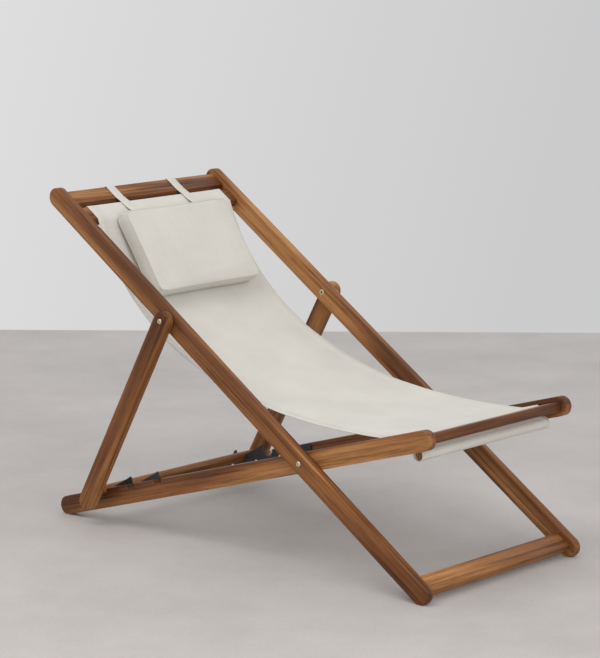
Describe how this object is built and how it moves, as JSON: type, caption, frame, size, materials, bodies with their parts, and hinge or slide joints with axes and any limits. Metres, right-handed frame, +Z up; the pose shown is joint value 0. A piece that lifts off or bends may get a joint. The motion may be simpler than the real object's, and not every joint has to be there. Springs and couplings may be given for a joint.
{
  "type": "folding deck chair",
  "caption": "Low folding deck chair: crossed timber frames, a notched prop, a hung canvas sling and a strapped head cushion.",
  "frame": {"origin": "on the floor, under the centre of the open chair's box", "axes": "+Z up, the sitter faces -Y, +X is the sitter's left"},
  "size_m": [0.6066, 1.1622, 0.7923],
  "materials": {
    "timber": "oiled, satin, long streaky grain",
    "canvas": "natural off-white plain weave, matt",
    "black_steel": "satin black coating",
    "bolts": "nickel-brass, lightly brushed"
  },
  "bodies": {
    "back_frame": {"back_rail_left": "timber", "back_rail_right": "timber", "foot_stretcher": "timber", "top_sling_bar": "timber", "top_bar": "timber", "top_pocket_rod": "timber", "sling_back": "canvas", "head_pillow": "canvas", "pillow_strap_left": "canvas", "pillow_strap_right": "canvas", "scissor_bolt_left": "bolts", "scissor_bolt_right": "bolts", "cap_nut_left": "bolts", "cap_nut_right": "bolts", "scissor_washer_left": "bolts", "scissor_washer_right": "bolts", "prop_bolt_left": "bolts", "prop_bolt_right": "bolts", "prop_nut_left": "bolts", "prop_nut_right": "bolts", "prop_washer_left": "bolts", "prop_washer_right": "bolts"},
    "seat_frame": {"seat_rail_left": "timber", "seat_rail_right": "timber", "front_sling_bar": "timber", "front_bar": "timber", "front_pocket_rod": "timber", "sling_seat": "canvas", "notch_plate_left": "black_steel", "notch_plate_right": "black_steel", "plate_screw_left_1": "bolts", "plate_screw_left_2": "bolts", "plate_screw_left_3": "bolts", "plate_screw_left_4": "bolts", "plate_screw_right_1": "bolts", "plate_screw_right_2": "bolts", "plate_screw_right_3": "bolts", "plate_screw_right_4": "bolts"},
    "prop_frame": {"prop_leg_left": "timber", "prop_leg_right": "timber", "prop_dowel": "timber"}
  },
  "joints": [
    {"name": "seat_fold", "type": "hinge", "parent": "back_frame", "child": "seat_frame", "pos_m": [0, -0.21418, 0.25216], "axis": [1, 0, 0], "range_deg": [-10.1, 50.4]},
    {"name": "prop_swing", "type": "hinge", "parent": "back_frame", "child": "prop_frame", "pos_m": [0, 0.19008, 0.52299], "axis": [1, 0, 0], "range_deg": [0, 95.5]}
  ]
}
